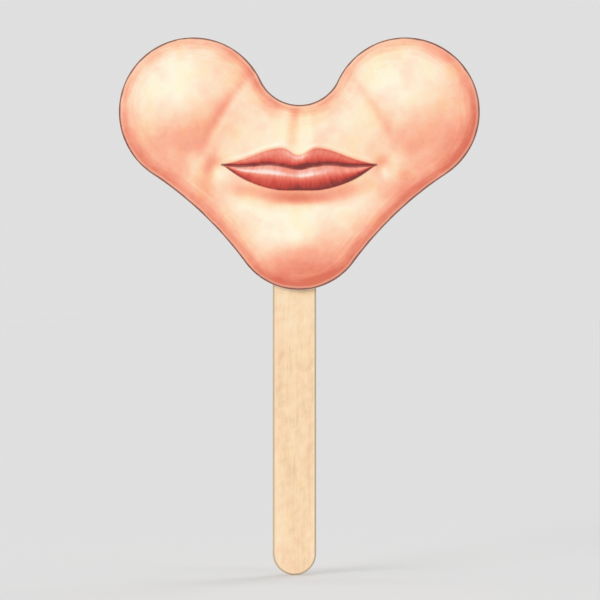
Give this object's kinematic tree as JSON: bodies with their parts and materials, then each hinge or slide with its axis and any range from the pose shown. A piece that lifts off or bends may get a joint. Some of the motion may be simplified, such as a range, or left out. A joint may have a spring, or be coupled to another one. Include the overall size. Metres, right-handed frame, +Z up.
{
  "type": "photo booth prop",
  "caption": "Hand-held party prop: a flat die-cut card printed with a calm lower face, notched at the top for the wearer's nose, taped to a flat round-ended wooden stick.",
  "frame": {"origin": "under the middle of the card, level with the stick's lower end, halfway through the prop's depth", "axes": "+X to the viewer's right, +Y from the printed side towards the stick's side, +Z up along the stick"},
  "size_m": [0.15, 0.0044, 0.2235],
  "materials": {
    "printed_paper": "satin print in cream, flesh pink and coral",
    "grey_board": "raw die-cut board edge with short fibres",
    "liner_paper": "plain uncoated off-white paper",
    "white_foam": "matte closed-cell foam tape",
    "birch": "bare fine-grained birch, tumbled smooth"
  },
  "bodies": {
    "root": {"face_sheet": "printed_paper", "core_board": "grey_board", "back_liner": "liner_paper", "foam_pad_lower": "white_foam", "foam_pad_upper": "white_foam", "handle_stick": "birch"}
  },
  "joints": []
}
